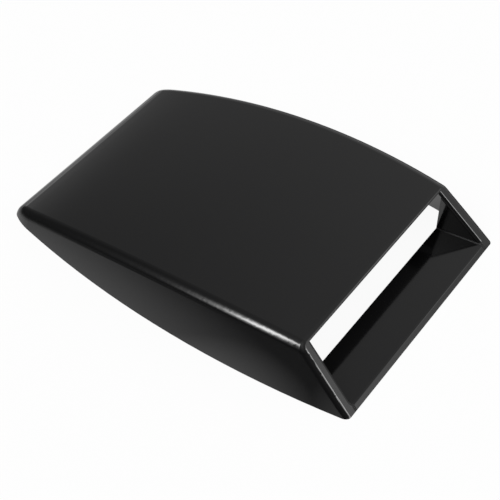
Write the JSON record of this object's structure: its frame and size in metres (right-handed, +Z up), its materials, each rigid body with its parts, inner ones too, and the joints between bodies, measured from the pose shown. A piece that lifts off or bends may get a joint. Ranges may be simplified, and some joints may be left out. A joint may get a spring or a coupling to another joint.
{
  "type": "bonnet scoop",
  "caption": "Low bonnet scoop: thin barrel-sided shell, open underneath, its arched top running down to the rear, with a raked letterbox mouth, floor tray and cheeks to take in air.",
  "frame": {"origin": "middle of the base, on the plane that rests on the bonnet", "axes": "+Z up from the bonnet, -Y the way the mouth faces, X across the scoop"},
  "size_m": [0.287, 0.4045, 0.056],
  "materials": {
    "gloss_black": "smooth gloss black moulded plastic"
  },
  "bodies": {
    "root": {"scoop_shell": "gloss_black"}
  },
  "joints": []
}
